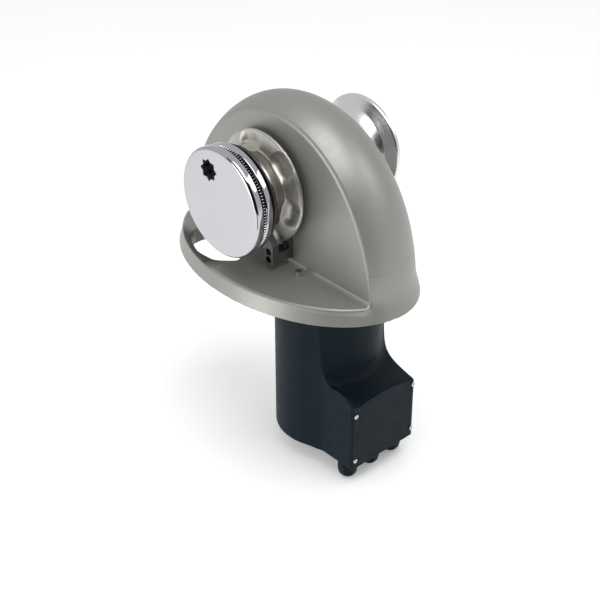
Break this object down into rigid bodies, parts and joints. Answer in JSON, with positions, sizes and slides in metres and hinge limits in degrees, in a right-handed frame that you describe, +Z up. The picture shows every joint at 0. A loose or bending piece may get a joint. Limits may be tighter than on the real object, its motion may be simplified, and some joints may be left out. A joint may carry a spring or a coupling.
{
  "type": "horizontal anchor windlass",
  "caption": "Horizontal anchor windlass with a domed deck housing, chain gypsy with clutch cap, rope drum and an under-deck motor with terminal box.",
  "frame": {"origin": "centre of the four deck fixing holes, on the deck plane under the base", "axes": "+Z up out of the deck, X along the horizontal shaft with the chain gypsy towards -X and the rope drum towards +X, -Y towards the terminal box"},
  "size_m": [0.216, 0.316, 0.4279],
  "materials": {
    "housing_satin": "satin warm grey anodised aluminium casting",
    "cast_aluminium": "bare machined casting",
    "chrome": "mirror chrome plating",
    "gypsy_nickel": "satin warm nickel plating on cast bronze",
    "stainless": "turned stainless steel",
    "dark_steel": "dark satin stainless steel",
    "steel": "ground steel",
    "bronze": "machined bronze",
    "copper": "copper",
    "rubber": "black rubber",
    "casing_plastic": "blue-black moulded plastic, fine grain",
    "inner_plastic": "moulded phenolic",
    "carbon": "carbon brush",
    "iron": "varnished steel",
    "ferrite": "ferrite magnet"
  },
  "bodies": {
    "root": {"base_plate": "housing_satin", "base_screws": "stainless", "base_seal": "rubber", "bearing_carrier": "cast_aluminium", "brush_holder": "inner_plastic", "brushes": "carbon", "carrier_gasket": "rubber", "carrier_screws": "stainless", "casing_screws": "stainless", "casing_seal": "rubber", "chain_stripper": "dark_steel", "cover_gasket": "rubber", "cover_screws": "stainless", "end_bell": "cast_aluminium", "flange_screws": "stainless", "floor_screw": "stainless", "gland_bodies": "casing_plastic", "gland_inserts": "rubber", "gland_nuts": "casing_plastic", "housing": "housing_satin", "motor_can": "iron", "motor_casing": "casing_plastic", "motor_flange": "cast_aluminium", "motor_outer_races": "steel", "oil_plug": "stainless", "shaft_outer_races": "steel", "shaft_seals": "rubber", "stator_magnets": "ferrite", "stripper_screws": "dark_steel", "terminal_block": "inner_plastic", "terminal_cover": "casing_plastic", "terminal_studs": "copper", "through_bolts": "stainless", "worm_outer_races": "steel", "worm_seal": "rubber"},
    "main_shaft": {"main_shaft": "steel", "shaft_keys": "steel", "wheel_circlip": "steel", "shaft_inner_races": "steel", "shaft_balls": "steel", "worm_wheel": "bronze", "inner_cone": "bronze", "drum": "chrome", "drum_washer": "stainless", "drum_bolt": "stainless"},
    "worm_rotor": {"worm_shaft": "steel", "worm_inner_races": "steel", "worm_balls": "steel", "motor_inner_races": "steel", "motor_balls": "steel", "coupling_sleeve": "steel", "coupling_pins": "steel", "rotor_shaft": "steel", "armature_core": "iron", "armature_windings": "copper", "commutator": "copper"},
    "gypsy": {"gypsy": "gypsy_nickel"},
    "outer_cone": {"outer_cone": "chrome", "thrust_washer": "bronze"},
    "clutch_cap": {"clutch_cap": "chrome"}
  },
  "joints": [
    {"name": "shaft_turn", "type": "hinge", "parent": "root", "child": "main_shaft", "pos_m": [0, 0.01, 0.1], "axis": [1, 0, 0], "continuous": true},
    {"name": "worm_turn", "type": "hinge", "parent": "root", "child": "worm_rotor", "pos_m": [0.02, -0.028, 0], "axis": [0, 0, 1], "continuous": true},
    {"name": "gypsy_turn", "type": "hinge", "parent": "main_shaft", "child": "gypsy", "pos_m": [-0.0555, 0.01, 0.1], "axis": [1, 0, 0], "continuous": true},
    {"name": "cone_slide", "type": "slide", "parent": "main_shaft", "child": "outer_cone", "axis": [-1, 0, 0], "range_m": [0, 0.0025]},
    {"name": "cap_turn", "type": "hinge", "parent": "outer_cone", "child": "clutch_cap", "pos_m": [-0.09, 0.01, 0.1], "axis": [-1, 0, 0], "range_deg": [0, 360]}
  ],
  "couplings": [
    {"joint": "worm_turn", "follows": "shaft_turn", "ratio": 28},
    {"joint": "cone_slide", "follows": "cap_turn", "m_per_rad": 0.00039789}
  ]
}
